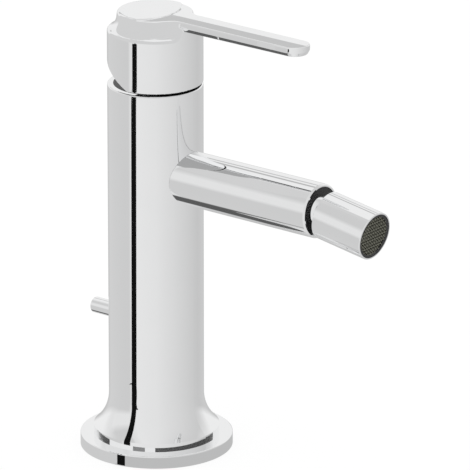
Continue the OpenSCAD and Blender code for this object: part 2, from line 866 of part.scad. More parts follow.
// Space above the two facets of the top, in front of the crown's flat
module roof_space() {
    length = lever_reach + head_r;
    height = 2 * crown_h;
    intersection() {
        difference() {
            translate([-head_r, -head_r, rim_z]) cube([length + over, head_span, height]);
            translate([flat_apex - flat_r, 0, rim_z - over]) cylinder(r = flat_r, h = height + 2 * over, $fn = 144);
        }
        for (side = [0, 1]) mirror([0, side, 0])
            translate([-head_r - over, 0, crown_top]) rotate([-roof_angle, 0, 0])
                cube([length + 3 * over, head_span, height]);
    }
}

// Space under the rear of the head, so that the head clears the body when the lever is lifted
module relief_space() {
    translate([over, -head_r - over, head_bottom]) rotate([0, relief_angle, 0])
        translate([-2 * head_span, 0, -head_span]) cube([2 * head_span, head_span + 2 * over, head_span]);
}

module handle_inside() {
    difference() {
        union() {
            translate([0, 0, head_bottom - over]) cylinder(r = cavity_r, h = cavity_top - head_bottom + over);
            translate([0, 0, head_bottom]) cylinder(r = crown_cavity_r, h = crown_cavity_top - head_bottom);
        }
        translate([0, 0, boss_bottom]) cylinder(r = boss_r, h = crown_top - boss_bottom);
    }
    translate([-stem_socket / 2, -stem_socket / 2, boss_bottom - over])
        cube([stem_socket, stem_socket, stem_top + fit - boss_bottom + over]);
    translate([0, 0, grub_z]) along_x(grub_r + running, -boss_r - over, 0);
    translate([0, 0, grub_z]) along_x(plug_r + running, -head_r - over, -cavity_r + over);
}

module handle() {
    color("silver") difference() {
        union() {
            head_outside();
            lever_root();
            lever_bar();
        }
        roof_space();
        relief_space();
        handle_inside();
    }
}

module handle_screw() {
    color("dimgray") translate([0, 0, grub_z]) difference() {
        along_x(grub_r, grub_tip_x - grub_l, grub_tip_x);
        translate([grub_tip_x - grub_l - over, 0, 0]) rotate([0, 90, 0])
            cylinder(d = grub_r, h = grub_l / 2 + over, $fn = 6);
    }
}

module screw_plug() {
    color("lightgray") translate([0, 0, grub_z]) intersection() {
        along_x(plug_r, -head_r, -cavity_r - fit);
        cylinder(r = head_r - plug_recess, h = head_r, center = true);
    }
}

// Pop-up control: a lever through the rear wall that lifts a rod

module popup_lever() {
    color("silver") translate([0, 0, popup_z]) difference() {
        union() {
            rotate([0, -90, 0]) rotate_extrude() rounded_half(knob_r, -knob_inner_x, knob_reach, knob_edge);
            along_x(arm_r, knob_inner_x - over, arm_thin_x);
            along_x(arm_thin_r, arm_pivot_x, -rod_x);
            translate([-rod_x, 0, 0]) sphere(r = arm_ball_r);
            translate([arm_pivot_x, 0, 0]) along_y(hinge_boss_r, 2 * hinge_boss_y);
        }
        translate([arm_pivot_x, 0, 0]) along_y(pivot_r + running, 2 * ear_y);
    }
}

// The bracket sits against the inside of the rear wall, and its bush passes through the wall
module pivot_bracket() {
    color("goldenrod") translate([0, 0, popup_z]) difference() {
        union() {
            intersection() {
                cylinder(r = bore_r - running, h = bracket_h, center = true);
                translate([-body_r, -ear_y, -bracket_h / 2]) cube([body_r + bracket_front_x, 2 * ear_y, bracket_h]);
            }
            along_x(bush_r, bush_end_x, bracket_back_x);
        }
        translate([bracket_back_x, -ear_slot_y, -bracket_h]) cube([body_d, 2 * ear_slot_y, 2 * bracket_h]);
        along_x(bush_bore_r, -body_r - over, bracket_back_x + over);
        translate([arm_pivot_x, 0, 0]) along_y(pivot_r + running, 3 * ear_y);
    }
}

module pivot_pin() {
    color("darkgray") translate([arm_pivot_x, 0, popup_z]) along_y(pivot_r, 2 * ear_y);
}

module lift_rod() {
    color("silver") difference() {
        union() {
            translate([-rod_x, 0, rod_bottom]) cylinder(r = rod_r, h = rod_head_z0 - rod_bottom + over);
            translate([rod_head_x0, -rod_head[1] / 2, rod_head_z0]) cube(rod_head);
        }
        translate([rod_head_x0 - over, -rod_slot_y, popup_z - rod_slot_z])
            cube([rod_slot_x1 - rod_head_x0 + over, 2 * rod_slot_y, 2 * rod_slot_z]);
        translate([-rod_x, 0, rod_bottom - over]) cylinder(r = rod_tap_d / 2, h = rod_tap_depth + over);
    }
}

base_flange();
base_gasket();
mixer_body();
inlet_block();
block_circlip();
hot_tube();
cold_tube();
tube_seals();
spout_tube();
ball_seal();
socket_nut();
swivel_ring();
nozzle();
aerator_seal();
flow_regulator();
aerator_housing();
aerator_screen();
cartridge_base();
port_seals();
cartridge_housing();
fixed_disc();
moving_disc();
disc_carrier();
cartridge_rotor();
stem_pin();
stem();
retaining_nut();
glide_ring();
handle();
handle_screw();
screw_plug();
popup_lever();
pivot_bracket();
pivot_pin();
lift_rod();
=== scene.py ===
import json
from math import cos, radians, sin, tan

import bpy
import numpy as np
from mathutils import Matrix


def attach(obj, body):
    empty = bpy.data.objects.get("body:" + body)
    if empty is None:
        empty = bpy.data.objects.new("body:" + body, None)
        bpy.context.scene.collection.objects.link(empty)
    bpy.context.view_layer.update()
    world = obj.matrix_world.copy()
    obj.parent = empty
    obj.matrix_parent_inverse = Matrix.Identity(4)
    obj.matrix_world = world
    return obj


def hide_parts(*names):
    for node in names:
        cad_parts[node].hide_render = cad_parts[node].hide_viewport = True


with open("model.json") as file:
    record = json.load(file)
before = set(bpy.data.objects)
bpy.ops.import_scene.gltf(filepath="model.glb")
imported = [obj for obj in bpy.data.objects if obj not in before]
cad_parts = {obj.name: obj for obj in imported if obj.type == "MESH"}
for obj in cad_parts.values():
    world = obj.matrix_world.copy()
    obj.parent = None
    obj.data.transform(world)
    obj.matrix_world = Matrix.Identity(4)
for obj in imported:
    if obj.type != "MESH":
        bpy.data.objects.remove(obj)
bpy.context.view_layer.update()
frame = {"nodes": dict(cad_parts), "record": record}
scene = bpy.context.scene
nodes = frame["nodes"]

# Camera of the photograph, in metres and degrees
CAMERA_PLACE = (1.8915, -2.3286, 1.1381)
CAMERA_YAW = 38.424
CAMERA_PITCH = 19.142
CAMERA_LENS = 554.4
CAMERA_AZIMUTH = 39.093


def make_camera():
    data = bpy.data.cameras.new("camera")
    data.lens = CAMERA_LENS
    data.sensor_width = 36
    data.clip_end = 50
    camera = bpy.data.objects.new("camera", data)
    camera.location = CAMERA_PLACE
    camera.rotation_euler = (radians(90 - CAMERA_PITCH), 0, radians(CAMERA_YAW))
    scene.collection.objects.link(camera)
    scene.camera = camera


# Outer sizes of the part's source, in millimetres
FLANGE_R = 33.7
FLANGE_T = 5.5
BODY_R = 21.0
FLARE_R = 20.0
FLARE_TOP = 24.225
BODY_TOP = 167.25
HEAD_R = BODY_R
HEAD_BOTTOM = 168.35
RIM_Z = 192.35
RIM_ROUND = 1.1


# Small helpers for node trees
def node(tree, kind, **settings):
    """Adds a node; a setting whose name starts with in_ goes to the input of that name or number."""
    made = tree.nodes.new(kind)
    for key, value in settings.items():
        if not key.startswith("in_"):
            setattr(made, key, value)
    for key, value in settings.items():
        if key.startswith("in_"):
            name = key[3:]
            socket = made.inputs[int(name)] if name.isdigit() else made.inputs[name.replace("_", " ")]
            if isinstance(value, bpy.types.NodeSocket):
                tree.links.new(value, socket)
            else:
                socket.default_value = value
    return made


def grey_colour(grey):
    return (grey, grey, grey, 1)


def grey_ramp(tree, factor, stops, interpolation="LINEAR"):
    """A ramp of greys; each stop is a place from 0 to 1 and a grey."""
    ramp = node(tree, "ShaderNodeValToRGB", in_Fac=factor)
    ramp.color_ramp.interpolation = interpolation
    elements = ramp.color_ramp.elements
    while len(elements) < len(stops):
        elements.new(0.5)
    for element, (place, grey) in zip(elements, stops):
        element.position = place
        element.color = grey_colour(grey)
    return ramp.outputs["Color"]


def mix(tree, factor, first, second):
    return node(tree, "ShaderNodeMixRGB", in_Fac=factor, in_Color1=first, in_Color2=second).outputs["Color"]


def times(tree, first, second):
    return node(tree, "ShaderNodeMixRGB", blend_type="MULTIPLY", in_Fac=1.0, in_Color1=first,
                in_Color2=second).outputs["Color"]


# Studio: light greys around the object, seen only in reflections
def turn(degrees):
    """Place of a direction around the object on a ramp; 0 degrees is towards the camera."""
    return degrees / 360 + 0.5


def height(degrees):
    """Place of a height above the horizon on a ramp."""
    return degrees / 180 + 0.5


# Greys all around at degrees from the camera's side
AROUND = [(-180, 0.50), (-145, 0.66), (-80, 0.63), (-68, 0.63), (-63, 0.76), (-58, 0.76), (-45, 0.82),
          (0, 0.79), (45, 0.71), (90, 0.63), (120, 0.58), (150, 0.61), (180, 0.56)]
# Fields of one grey; each has a share by degrees around and a share by degrees of height
LEFT = [(-120, 0), (-105, 1), (-66, 1), (-60, 0)]
LEFT_HEIGHT = [(-7, 0), (3, 1), (22, 1), (36, 0)]
LEFT_GREY = 0.80
BACK = [(-130, 1), (-100, 0), (100, 0), (130, 1)]
BACK_HEIGHT = [(-10, 0), (0, 1)]
BACK_GREY = 0.88
EDGE = [(-150, 1), (-140, 0), (145, 0), (160, 1)]
EDGE_HEIGHT = [(37.5, 0), (40, 1), (43, 1), (45, 0)]
EDGE_GREY = 0.48
BELOW = [(-150, 0), (-140, 1), (-85, 1), (-70, 0)]
BELOW_HEIGHT = [(-60, 0), (-57, 1), (-51.2, 1), (-49.7, 0)]
BELOW_GREY = 0.11
# Fields that only a second reflection sees
UNDERNEATH_HEIGHT = [(-90, 1), (-56.5, 0)]
UNDERNEATH_GREY = 0.72
ROOT = [(-180, 0), (-95, 1), (70, 0)]
ROOT_HEIGHT = [(-90, 0), (43, 1), (60, 0)]
ROOT_GREY = 0.41
GLARE = [(-180, 0), (72, 1), (130, 0)]
GLARE_HEIGHT = [(-90, 0), (33, 1), (56, 0)]
GLARE_GREY = 0.95
# Light of the studio on dull surfaces
STUDIO_GREY = 0.9


def reflected_twice(tree):
    """1 for a ray that has left a second polished surface, otherwise 0."""
    bounces = node(tree, "ShaderNodeLightPath").outputs["Glossy Depth"]
    return node(tree, "ShaderNodeMath", operation="GREATER_THAN", in_0=bounces, in_1=1.5).outputs[0]


def studio_colour(tree):
    """Grey of the studio in each direction, as polished metal shows it."""
    place = node(tree, "ShaderNodeTexCoord").outputs["Generated"]
    turned = node(tree, "ShaderNodeVectorRotate", rotation_type="Z_AXIS", in_Vector=place,
                  in_Angle=-radians(CAMERA_AZIMUTH)).outputs["Vector"]
    parts = node(tree, "ShaderNodeSeparateXYZ", in_Vector=turned)
    back = node(tree, "ShaderNodeMath", operation="MULTIPLY", in_0=parts.outputs["Y"], in_1=-1.0).outputs[0]
    angle = node(tree, "ShaderNodeMath", operation="ARCTAN2", in_0=parts.outputs["X"], in_1=back).outputs[0]
    around = node(tree, "ShaderNodeMath", operation="MULTIPLY_ADD", in_0=angle, in_1=1 / radians(360),
                  in_2=0.5).outputs[0]
    rise = node(tree, "ShaderNodeMath", operation="ARCSINE", in_0=parts.outputs["Z"]).outputs[0]
    upward = node(tree, "ShaderNodeMath", operation="MULTIPLY_ADD", in_0=rise, in_1=1 / radians(180),
                  in_2=0.5).outputs[0]

    def by_turn(stops, interpolation="LINEAR"):
        return grey_ramp(tree, around, [(turn(a), g) for a, g in stops], interpolation)

    def by_height(stops, interpolation="LINEAR"):
        return grey_ramp(tree, upward, [(height(a), g) for a, g in stops], interpolation)

    whole = by_turn(AROUND)
    whole = mix(tree, times(tree, by_turn(LEFT), by_height(LEFT_HEIGHT)), whole, grey_colour(LEFT_GREY))
    whole = mix(tree, times(tree, by_turn(BACK), by_height(BACK_HEIGHT)), whole, grey_colour(BACK_GREY))
    whole = mix(tree, times(tree, by_turn(EDGE), by_height(EDGE_HEIGHT)), whole, grey_colour(EDGE_GREY))
    again = reflected_twice(tree)
    below = node(tree, "ShaderNodeMath", operation="MAXIMUM", in_0=by_turn(BELOW), in_1=again).outputs[0]
    whole = mix(tree, times(tree, below, by_height(BELOW_HEIGHT)), whole, grey_colour(BELOW_GREY))
    underneath = times(tree, by_height(UNDERNEATH_HEIGHT, "CONSTANT"), again)
    whole = mix(tree, underneath, whole, grey_colour(UNDERNEATH_GREY))
    root = times(tree, by_turn(ROOT, "CONSTANT"), by_height(ROOT_HEIGHT, "CONSTANT"))
    whole = mix(tree, times(tree, root, again), whole, grey_colour(ROOT_GREY))
    glare = times(tree, by_turn(GLARE, "CONSTANT"), by_height(GLARE_HEIGHT, "CONSTANT"))
    return mix(tree, times(tree, glare, again), whole, grey_colour(GLARE_GREY))


def make_world():
    world = bpy.data.worlds.new("studio")
    world.use_nodes = True
    scene.world = world
    tree = world.node_tree
    tree.nodes.clear()
    path = node(tree, "ShaderNodeLightPath")
    whole = mix(tree, path.outputs["Is Glossy Ray"], grey_colour(STUDIO_GREY), studio_colour(tree))
    whole = mix(tree, path.outputs["Is Camera Ray"], whole, grey_colour(1))
    background = node(tree, "ShaderNodeBackground", in_Color=whole, in_Strength=1.0)
    node(tree, "ShaderNodeOutputWorld", in_Surface=background.outputs[0])


# Cards of the studio, in millimetres and degrees, which only reflections see
HEAD_STRIP = (-29.9, -23.8)
BODY_STRIP = (-31.5, -24.9)
FLARE_STRIP = (-31.7, -25.2)
FLANGE_STRIP = (-31.1, -24.5)
STRIP_SLANT = 0.0085
STRIP_SPARE = 24.0
STRIP_GREY = 0.006
BODY_STRIP_AWAY = 1500.0
FLARE_STRIP_AWAY = 22.0
FLANGE_STRIP_AWAY = 1.0
FLANGE_STRIP_Z = (0.3, FLANGE_T - 0.4)
FLARE_TILTS = (0, 8, 16, 24, 32, 40, 48.7)
COLLAR_R = 60.0
COLLAR_TURNS = range(-118, 43, 4)
COLLAR_Z = (184.5, 450)
COLLAR_GREY = 0.66
BACK_CARD_FAR = 300.0
BACK_CARD_SIDES = (-170, 170)
BACK_CARD_Z = (306, 352)
BACK_CARD_GREY = 0.57
FLOOR_CARD_R = (FLANGE_R + 0.2, 47.78)
FLOOR_CARD_Z = -0.1
FLOOR_CARD_STEPS = 40
FLOOR_CARDS = [(-180, 0.62), (-34, 0.52), (180, 0.52)]
FOOT_CARD_R = 600.0
FOOT_CARD_Z = (200, 220)
FOOT_CARD_STEPS = 16
FOOT_CARDS = [(-180, 0.80), (-157, 0.08), (-94, 0.88), (-43, 0.25), (-21, 0.88), (-3, 0.07), (124, 0.85),
              (180, 0.85)]


def facing(degrees):
    """Direction in plan at an angle from the camera's side."""
    angle = radians(degrees + CAMERA_AZIMUTH)
    return np.array([sin(angle), -cos(angle), 0.0])


def make_card(name, rows, grey, first_only=True):
    """A thin card of one grey from two rows of points; first reflections see it, or else only later ones."""
    points = [tuple(p / 1000) for pair in zip(*rows) for p in pair]
    faces = [(2 * k, 2 * k + 2, 2 * k + 3, 2 * k + 1) for k in range(len(rows[0]) - 1)]
    mesh = bpy.data.meshes.new(name)
    mesh.from_pydata(points, [], faces)
    card = bpy.data.objects.new(name, mesh)
    scene.collection.objects.link(card)
    card.visible_camera = False
    card.visible_diffuse = False
    card.visible_transmission = False
    card.visible_shadow = False
    material = bpy.data.materials.new(name)
    material.use_nodes = True
    tree = material.node_tree
    tree.nodes.clear()
    shine = node(tree, "ShaderNodeEmission", in_Color=grey_colour(grey), in_Strength=1.0)
    clear = node(tree, "ShaderNodeBsdfTransparent")
    first, later = (shine, clear) if first_only else (clear, shine)
    both = node(tree, "ShaderNodeMixShader", in_0=reflected_twice(tree), in_1=first.outputs[0],
                in_2=later.outputs[0])
    node(tree, "ShaderNodeOutputMaterial", in_Surface=both.outputs[0])
    mesh.materials.append(material)


def strip_card(name, profile, away):
    """A black strip, reflected down a turned surface; the profile gives radius, height, tilt and edges."""
    eye = np.array(CAMERA_PLACE) * 1000
    rows = []
    for side in (0, 1):
        row = []
        for radius, z, tilt, edges in profile:
            outward = facing(edges[side] + STRIP_SLANT * z)
            spot = radius * outward + np.array([0, 0, z])
            normal = cos(tilt) * outward + np.array([0, 0, sin(tilt)])
            ray = (spot - eye) / np.linalg.norm(spot - eye)
            row.append(spot + away * (ray - 2 * (ray @ normal) * normal))
        rows.append(row)
    make_card(name, rows, STRIP_GREY)


def raised(points, heights):
    """Two rows of points, at two heights above the same places in plan."""
    return [[p + (0, 0, z) for p in points] for z in heights]


def make_cards():
    upright = [(BODY_R, FLARE_TOP - STRIP_SPARE, 0, BODY_STRIP), (BODY_R, BODY_TOP, 0, BODY_STRIP),
               (HEAD_R, HEAD_BOTTOM, 0, HEAD_STRIP), (HEAD_R, RIM_Z + STRIP_SPARE, 0, HEAD_STRIP)]
    strip_card("strip_body", upright, BODY_STRIP_AWAY)
    flare = []
    for tilt in (radians(a) for a in FLARE_TILTS):
        flare.append((BODY_R + FLARE_R * (1 - cos(tilt)), FLARE_TOP - FLARE_R * sin(tilt), tilt, FLARE_STRIP))
    strip_card("strip_flare", flare, FLARE_STRIP_AWAY)
    strip_card("strip_flange", [(FLANGE_R, z, 0, FLANGE_STRIP) for z in FLANGE_STRIP_Z], FLANGE_STRIP_AWAY)
    collar = [COLLAR_R * facing(a) for a in COLLAR_TURNS]
    make_card("collar_card", raised(collar, COLLAR_Z), COLLAR_GREY)
    back = [BACK_CARD_FAR * facing(180) + s * facing(90) for s in BACK_CARD_SIDES]
    make_card("back_card", raised(back, BACK_CARD_Z), BACK_CARD_GREY)
    for (start, grey), (end, _) in zip(FLOOR_CARDS, FLOOR_CARDS[1:]):
        ring = [facing(a) for a in np.linspace(start, end, FLOOR_CARD_STEPS)]
        rows = [[r * p + (0, 0, FLOOR_CARD_Z) for p in ring] for r in FLOOR_CARD_R]
        make_card(f"floor_card_{start}", rows, grey)
    for (start, grey), (end, _) in zip(FOOT_CARDS, FOOT_CARDS[1:]):
        ring = [FOOT_CARD_R * facing(a) for a in np.linspace(start, end, FOOT_CARD_STEPS)]
        make_card(f"foot_card_{start}", raised(ring, FOOT_CARD_Z), grey, False)


# Floor, in metres
FLOOR_HALF = 4.0
FLOOR_Z = -0.0003
FLOOR_GREY = 0.8
FLOOR_SHADE = 0.18
FLOOR_SHINE = 0.85


def make_floor():
    """A plain white floor with a soft shadow; reflections see the studio instead."""
    mesh = bpy.data.meshes.new("floor")
    corners = [(-1, -1), (1, -1), (1, 1), (-1, 1)]
    mesh.from_pydata([(x * FLOOR_HALF, y * FLOOR_HALF, FLOOR_Z) for x, y in corners], [], [(0, 1, 2, 3)])
    floor = bpy.data.objects.new("floor", mesh)
    scene.collection.objects.link(floor)
    floor.visible_glossy = False
    material = bpy.data.materials.new("floor_white")
    material.use_nodes = True
    tree = material.node_tree
    tree.nodes.clear()
    path = node(tree, "ShaderNodeLightPath")
    plain = node(tree, "ShaderNodeBsdfDiffuse", in_Color=grey_colour(FLOOR_GREY))
    shade = node(tree, "ShaderNodeBsdfDiffuse", in_Color=grey_colour(FLOOR_SHADE))
    shine = node(tree, "ShaderNodeEmission", in_Color=grey_colour(FLOOR_SHINE), in_Strength=1.0)
    white = node(tree, "ShaderNodeAddShader", in_0=shade.outputs[0], in_1=shine.outputs[0])
    both = node(tree, "ShaderNodeMixShader", in_0=path.outputs["Is Camera Ray"], in_1=plain.outputs[0],
                in_2=white.outputs[0])
    node(tree, "ShaderNodeOutputMaterial", in_Surface=both.outputs[0])
    mesh.materials.append(material)


# Materials; polished chrome is two colours, two roughnesses and a grain
CHROME = ((0.93, 0.935, 0.94), (0.955, 0.957, 0.96), 0.02, 0.045, 90)
# Near-black greys and their grain, painted as shade inside the head
DULL_SHADE_GREYS = (0.05, 0.09)
DULL_SHADE_GRAIN = 900
BUMP_DEPTH = 0.0002


def new_material(name):
    material = bpy.data.materials.new(name)
    material.use_nodes = True
    tree = material.node_tree
    tree.nodes.clear()
    shader = node(tree, "ShaderNodeBsdfPrincipled")
    node(tree, "ShaderNodeOutputMaterial", in_Surface=shader.outputs[0])
    place = node(tree, "ShaderNodeTexCoord").outputs["Object"]
    return material, tree, shader, place


def link_ramp(tree, shader, socket, factor, low, high):
    """Sends a noise to a shader socket as a number between low and high."""
    spread = node(tree, "ShaderNodeMapRange", in_0=factor, in_3=low, in_4=high)
    tree.links.new(spread.outputs[0], shader.inputs[socket])


def link_colours(tree, shader, factor, dark, light):
    mixed = node(tree, "ShaderNodeMixRGB", in_Fac=factor, in_Color1=(*dark, 1), in_Color2=(*light, 1))
    tree.links.new(mixed.outputs[0], shader.inputs["Base Color"])


def link_bump(tree, shader, factor, strength):
    bump = node(tree, "ShaderNodeBump", in_Strength=strength, in_Distance=BUMP_DEPTH, in_Height=factor)
    tree.links.new(bump.outputs[0], shader.inputs["Normal"])


def noise(tree, place, scale, detail=3.0):
    return node(tree, "ShaderNodeTexNoise", in_Vector=place, in_Scale=scale, in_Detail=detail).outputs[0]


def metal(name, dark, light, rough_low, rough_high, grain, bump=0.0):
    material, tree, shader, place = new_material(name)
    shader.inputs["Metallic"].default_value = 1.0
    pattern = noise(tree, place, grain)
    link_colours(tree, shader, pattern, dark, light)
    link_ramp(tree, shader, "Roughness", noise(tree, place, grain * 0.37), rough_low, rough_high)
    if bump:
        link_bump(tree, shader, pattern, bump)
    return material


def chrome_cast(name):
    """Chrome whose unpolished inside, within the head's outer wall, is dull, with painted shade: a near-black
    colour stands in for the shade inside the head and in the gap below it.
    """
    material = metal(name, *CHROME)
    tree = material.node_tree
    shader = tree.nodes["Principled BSDF"]
    place = node(tree, "ShaderNodeTexCoord").outputs["Object"]
    parts = node(tree, "ShaderNodeSeparateXYZ", in_Vector=place)
    flat = node(tree, "ShaderNodeCombineXYZ", in_X=parts.outputs["X"], in_Y=parts.outputs["Y"])
    out = node(tree, "ShaderNodeVectorMath", operation="LENGTH", in_0=flat.outputs[0]).outputs["Value"]
    within = node(tree, "ShaderNodeMath", operation="LESS_THAN", in_0=out, in_1=DULL_SHADE_R / 1000).outputs[0]
    below = node(tree, "ShaderNodeMath", operation="LESS_THAN", in_0=parts.outputs["Z"],
                 in_1=DULL_SHADE_TOP / 1000).outputs[0]
    # Mask of the head's inside and underside: its roughness is the unpolished cast, its near-black colour is
    # painted shade
    inside = node(tree, "ShaderNodeMath", operation="MULTIPLY", in_0=within, in_1=below).outputs[0]
    polished = shader.inputs["Base Color"].links[0].from_socket
    # Painted shade: near-black greys stand in for the shade inside the head and in the gap between head and
    # body
    dull_with_painted_shade = mix(tree, noise(tree, place, DULL_SHADE_GRAIN), grey_colour(DULL_SHADE_GREYS[0]), grey_colour(DULL_SHADE_GREYS[1]))
    tree.links.new(mix(tree, inside, polished, dull_with_painted_shade), shader.inputs["Base Color"])
    smooth = shader.inputs["Roughness"].links[0].from_socket
    rough = node(tree, "ShaderNodeMath", operation="MAXIMUM", in_0=smooth, in_1=inside).outputs[0]
    tree.links.new(rough, shader.inputs["Roughness"])
    return material


def plastic(name, dark, light, rough_low, rough_high, grain, bump):
    material, tree, shader, place = new_material(name)
    pattern = noise(tree, place, grain)
    link_colours(tree, shader, pattern, dark, light)
    link_ramp(tree, shader, "Roughness", noise(tree, place, grain * 0.5), rough_low, rough_high)
    link_bump(tree, shader, pattern, bump)
    return material


def make_materials():
    return {
        "chrome": metal("chrome", *CHROME),
        "chrome_cast": chrome_cast("chrome_cast"),
        "brass": metal("brass", (0.62, 0.43, 0.16), (0.76, 0.57, 0.27), 0.22, 0.38, 700, 0.08),
        "copper": metal("copper", (0.66, 0.33, 0.19), (0.78, 0.45, 0.30), 0.20, 0.34, 500, 0.05),
        "steel": metal("steel", (0.50, 0.51, 0.52), (0.64, 0.65, 0.66), 0.18, 0.32, 900, 0.06),
        "screen": metal("screen", (0.20, 0.20, 0.16), (0.30, 0.30, 0.25), 0.40, 0.55, 1500, 0.1),
        "rubber": plastic("rubber", (0.012, 0.012, 0.012), (0.030, 0.030, 0.030), 0.55, 0.75, 900, 0.12),
        "white_plastic": plastic("white_plastic", (0.74, 0.74, 0.72), (0.82, 0.82, 0.80), 0.35, 0.5, 600,
                                 0.06),
        "grey_plastic": plastic("grey_plastic", (0.26, 0.27, 0.28), (0.34, 0.35, 0.36), 0.35, 0.5, 600, 0.06),
        "black_plastic": plastic("black_plastic", (0.008, 0.008, 0.009), (0.018, 0.018, 0.019), 0.3, 0.45,
                                 700, 0.06),
        "slip_plastic": plastic("slip_plastic", (0.74, 0.74, 0.72), (0.82, 0.82, 0.81), 0.25, 0.4, 400, 0.03),
        "ceramic": plastic("ceramic", (0.80, 0.79, 0.76), (0.86, 0.85, 0.83), 0.08, 0.16, 300, 0.01),
        "plug": plastic("plug", (0.52, 0.53, 0.54), (0.60, 0.61, 0.62), 0.2, 0.3, 500, 0.04),
    }


# Handle, in millimetres, with the sizes of the part's source
CROWN_TOP = 200.25
CROWN_R = 16.5
CROWN_EDGE = 1.1
CROWN_DRAFT = radians(6.5)
COVE_END = radians(64)
FLAT_APEX = 9.3
FLAT_R = 20.0
ROOF = radians(2)
LEVER_R = 6.45
NOSE_X = 77.05
LEVER_SIDE = 2.6
LEVER_ROOT_X = 12.5
LEVER_ROOT_T = 4.8
LEVER_TIP_T = 4.4
LEVER_DRAW = 0.55
ROOT_FILLET = 4.0
RELIEF = radians(29)
RELIEF_X = 1.0
CAVITY_R = 18.4
# The painted shade inside the head, with its dull roughness, reaches out to this radius
DULL_SHADE_R = HEAD_R - 0.25
CAVITY_TOP = 188.35
# and up to this height
DULL_SHADE_TOP = CAVITY_TOP + 0.1
CROWN_CAVITY_R = 13.3
CROWN_CAVITY_TOP = 196.05
BOSS_R = 7.557
BOSS_BOTTOM = 173.75
SOCKET_HALF = 4.1
SOCKET_TOP = 190.65
GRUB_Z = 186.05
GRUB_HOLE_R = 2.05
PLUG_HOLE_R = 2.75
# Soft edges that the solid leaves sharp
RIM_SOFT = 0.8
LEVER_EDGE = 0.4
UNDER_EDGE = 0.15
CREASE_SOFT = 0.5
RIDGE_SOFT = 0.02
HANDLE_STEP = 0.42

RIM_R = HEAD_R - RIM_ROUND + RIM_ROUND * cos(COVE_END)
RIM_END_Z = RIM_Z - RIM_ROUND + RIM_ROUND * sin(COVE_END)
COVE_R = ((RIM_R - CROWN_R - (CROWN_TOP - RIM_END_Z) * tan(CROWN_DRAFT))
          / (1 / cos(CROWN_DRAFT) - cos(COVE_END) - sin(COVE_END) * tan(CROWN_DRAFT)))
COVE_X = RIM_R + COVE_R * cos(COVE_END)
COVE_Z = RIM_END_Z + COVE_R * sin(COVE_END)


def round_overlap(a, b, radius):
    """Distance to what two shapes share, with a rounded edge."""
    u = np.maximum(a + radius, 0)
    v = np.maximum(b + radius, 0)
    return np.minimum(np.maximum(a, b), -radius) + np.hypot(u, v)


def round_union(a, b, radius):
    """Distance to two joined shapes, with a concave fillet."""
    u = np.maximum(radius - a, 0)
    v = np.maximum(radius - b, 0)
    return np.maximum(np.minimum(a, b), radius) - np.hypot(u, v)


def crown_side(r, z):
    """Distance to the crown's leaning side and the cove that runs from it to the rim."""
    out = r - COVE_X
    rise = z - COVE_Z
    wall = (r - CROWN_R - (CROWN_TOP - z) * tan(CROWN_DRAFT)) * cos(CROWN_DRAFT)
    cove = COVE_R - np.hypot(out, rise)
    slope = (r - RIM_R) * cos(COVE_END) + (z - RIM_END_Z) * sin(COVE_END)
    on_wall = rise * cos(CROWN_DRAFT) - out * sin(CROWN_DRAFT) > 0
    on_slope = out * sin(COVE_END) - rise * cos(COVE_END) > 0
    return np.where(on_wall, wall, np.where(on_slope, slope, cove))


def handle_top(x, y, z):
    """Distance to the crown's flat and the two facets in front of it."""
    flat = z - CROWN_TOP
    facets = flat * cos(ROOF) + np.sqrt(y * y + RIDGE_SOFT) * sin(ROOF)
    arc = np.hypot(x - FLAT_APEX + FLAT_R, y) - FLAT_R
    return round_overlap(flat, round_union(arc, facets, CREASE_SOFT), CREASE_SOFT / 2)


def lever_bar(x, y, z):
    """Distance to the lever below its top: upright sides, drawn in below, and the underside."""
    side = np.where(x > NOSE_X, np.hypot(np.maximum(x - NOSE_X, 0), y), np.abs(y)) - LEVER_R
    drawn = (side - LEVER_DRAW * (z - CROWN_TOP + LEVER_SIDE)) / np.hypot(1, LEVER_DRAW)
    along = np.clip((x - LEVER_ROOT_X) / (NOSE_X - LEVER_ROOT_X), 0, 1)
    under = CROWN_TOP - LEVER_ROOT_T + (LEVER_ROOT_T - LEVER_TIP_T) * along - z
    sides = round_overlap(side, drawn, UNDER_EDGE)
    return round_overlap(np.maximum(sides, LEVER_ROOT_X - x), under, UNDER_EDGE)


def handle_hollow(x, y, z, r):
    """Distance to the space inside the head, with the stem's boss standing in it."""
    wide = np.maximum(r - CAVITY_R, z - CAVITY_TOP)
    narrow = np.maximum(r - CROWN_CAVITY_R, z - CROWN_CAVITY_TOP)
    boss = np.maximum(r - BOSS_R, BOSS_BOTTOM - z)
    hollow = np.maximum(np.minimum(wide, narrow), -boss)
    socket = np.maximum(np.maximum(np.abs(x), np.abs(y)) - SOCKET_HALF, z - SOCKET_TOP)
    off_grub = np.hypot(y, z - GRUB_Z)
    grub = np.maximum(np.maximum(off_grub - GRUB_HOLE_R, x), -x - BOSS_R - 1)
    plug = np.maximum(off_grub - PLUG_HOLE_R, x + CAVITY_R - 1)
    return np.minimum(np.minimum(hollow, socket), np.minimum(grub, plug))


def handle_distance(x, y, z):
    """Distance to the handle: coved head, lever and hollow inside."""
    r = np.hypot(x, y)
    root = np.maximum(np.abs(y) - LEVER_R, LEVER_ROOT_X - x)
    head = round_overlap(round_union(crown_side(r, z), root, ROOT_FILLET), r - HEAD_R, RIM_SOFT)
    whole = np.minimum(head, lever_bar(x, y, z))
    ahead = np.clip((x - CROWN_R) / ROOT_FILLET, 0, 1)
    edge = CROWN_EDGE + (LEVER_EDGE - CROWN_EDGE) * ahead
    whole = round_overlap(whole, handle_top(x, y, z), edge)
    relief = (HEAD_BOTTOM + (RELIEF_X - x) * tan(RELIEF) - z) * cos(RELIEF)
    whole = round_overlap(whole, np.maximum(HEAD_BOTTOM - z, relief), UNDER_EDGE)
    return np.maximum(whole, -handle_hollow(x, y, z, r))


